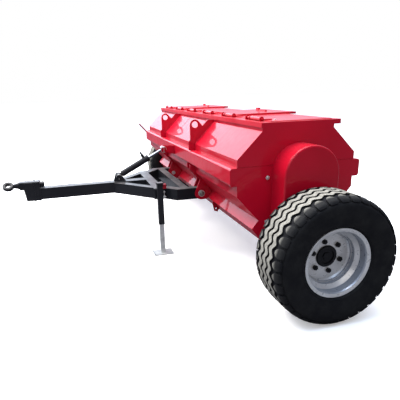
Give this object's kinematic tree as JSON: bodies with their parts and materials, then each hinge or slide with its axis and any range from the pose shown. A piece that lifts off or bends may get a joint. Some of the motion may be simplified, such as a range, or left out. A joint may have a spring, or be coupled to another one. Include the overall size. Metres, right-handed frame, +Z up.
{
  "type": "fertilizer spreader",
  "caption": "Trailed full-width drop spreader: a long folded hopper with hinged lids and a dosing trough, between farm wheels, on an A-frame drawbar with a tilt cylinder and a jack.",
  "frame": {"origin": "on the ground, under the middle of the overall box", "axes": "+X ahead to the hitch, +Y to the machine's left along the axle, +Z up"},
  "size_m": [2.641, 4.324, 1.2855],
  "materials": {
    "red_paint": "glossy red enamel",
    "dark_red_paint": "dull dark red enamel",
    "black_paint": "satin black enamel",
    "rim_silver": "silver grey wheel paint",
    "hub_black": "satin black",
    "tyre_rubber": "black rubber with dusty tread",
    "zinc_steel": "zinc plated",
    "bare_steel": "bare steel with dust",
    "chrome_rod": "hard chrome"
  },
  "bodies": {
    "hopper": {"front_wall": "red_paint", "rear_wall": "red_paint", "end_plate_left": "red_paint", "end_plate_right": "red_paint", "top_deck": "red_paint", "front_beam": "red_paint", "rear_beam": "red_paint", "dosing_trough": "red_paint", "shutter_slide": "dark_red_paint", "slide_hangers": "dark_red_paint", "lifting_ribs": "red_paint", "drawbar_lugs": "red_paint", "drawbar_pins": "zinc_steel", "cylinder_bracket": "red_paint", "drive_guard_left": "red_paint", "drive_guard_right": "red_paint", "stub_axle_left": "black_paint", "stub_axle_right": "black_paint", "metering_lever": "dark_red_paint", "lid_hinges": "red_paint"},
    "drawbar": {"tongue": "black_paint", "front_cross_beam": "black_paint", "drawbar_legs": "black_paint", "side_rails": "black_paint", "rear_cross_tube": "black_paint", "hitch_head": "black_paint", "cylinder_base": "black_paint", "jack_tube": "black_paint", "jack_gear": "dark_red_paint"},
    "agitator_rotor": {"agitator": "bare_steel"},
    "swivel_eye": {"towing_eye": "black_paint"},
    "jack_inner": {"jack_leg": "zinc_steel", "jack_foot": "zinc_steel"},
    "barrel": {"cylinder_barrel": "black_paint"},
    "rod": {"cylinder_rod": "chrome_rod"},
    "left_lid": {"lid_left": "red_paint"},
    "right_lid": {"lid_right": "red_paint"},
    "left_wheel": {"tyre_left": "tyre_rubber", "rim_left": "rim_silver", "hub_left": "hub_black"},
    "right_wheel": {"tyre_right": "tyre_rubber", "rim_right": "rim_silver", "hub_right": "hub_black"}
  },
  "joints": [
    {"name": "wheel_left_spin", "type": "hinge", "parent": "hopper", "child": "left_wheel", "pos_m": [-0.8335, 1.985, 0.425], "axis": [0, 1, 0], "continuous": true},
    {"name": "wheel_right_spin", "type": "hinge", "parent": "hopper", "child": "right_wheel", "pos_m": [-0.8335, -1.985, 0.425], "axis": [0, 1, 0], "continuous": true},
    {"name": "agitator_spin", "type": "hinge", "parent": "hopper", "child": "agitator_rotor", "pos_m": [-0.8235, 0, 0.51], "axis": [0, 1, 0], "continuous": true},
    {"name": "drawbar_pitch", "type": "hinge", "parent": "hopper", "child": "drawbar", "pos_m": [-0.4315, 0, 0.564], "axis": [0, 1, 0], "range_deg": [-6, 8]},
    {"name": "cylinder_swing", "type": "hinge", "parent": "drawbar", "child": "barrel", "pos_m": [0.2415, 0, 0.668], "axis": [0, 1, 0], "range_deg": [-3, 3]},
    {"name": "rod_slide", "type": "slide", "parent": "barrel", "child": "rod", "axis": [-0.8886, 0, 0.4587], "range_m": [-0.06, 0.06]},
    {"name": "jack_slide", "type": "slide", "parent": "drawbar", "child": "jack_inner", "axis": [0, 0, 1], "range_m": [0, 0.24]},
    {"name": "hitch_swivel", "type": "hinge", "parent": "drawbar", "child": "swivel_eye", "pos_m": [1.0665, 0, 0.65], "axis": [1, 0, 0], "continuous": true},
    {"name": "lid_left_open", "type": "hinge", "parent": "hopper", "child": "left_lid", "pos_m": [-0.6085, 0.815, 1.256], "axis": [0, 1, 0], "range_deg": [0, 110]},
    {"name": "lid_right_open", "type": "hinge", "parent": "hopper", "child": "right_lid", "pos_m": [-0.6085, -0.815, 1.256], "axis": [0, 1, 0], "range_deg": [0, 110]}
  ],
  "couplings": [
    {"joint": "cylinder_swing", "follows": "drawbar_pitch", "ratio": 0.0415},
    {"joint": "rod_slide", "follows": "drawbar_pitch", "m_per_rad": 0.40031}
  ]
}
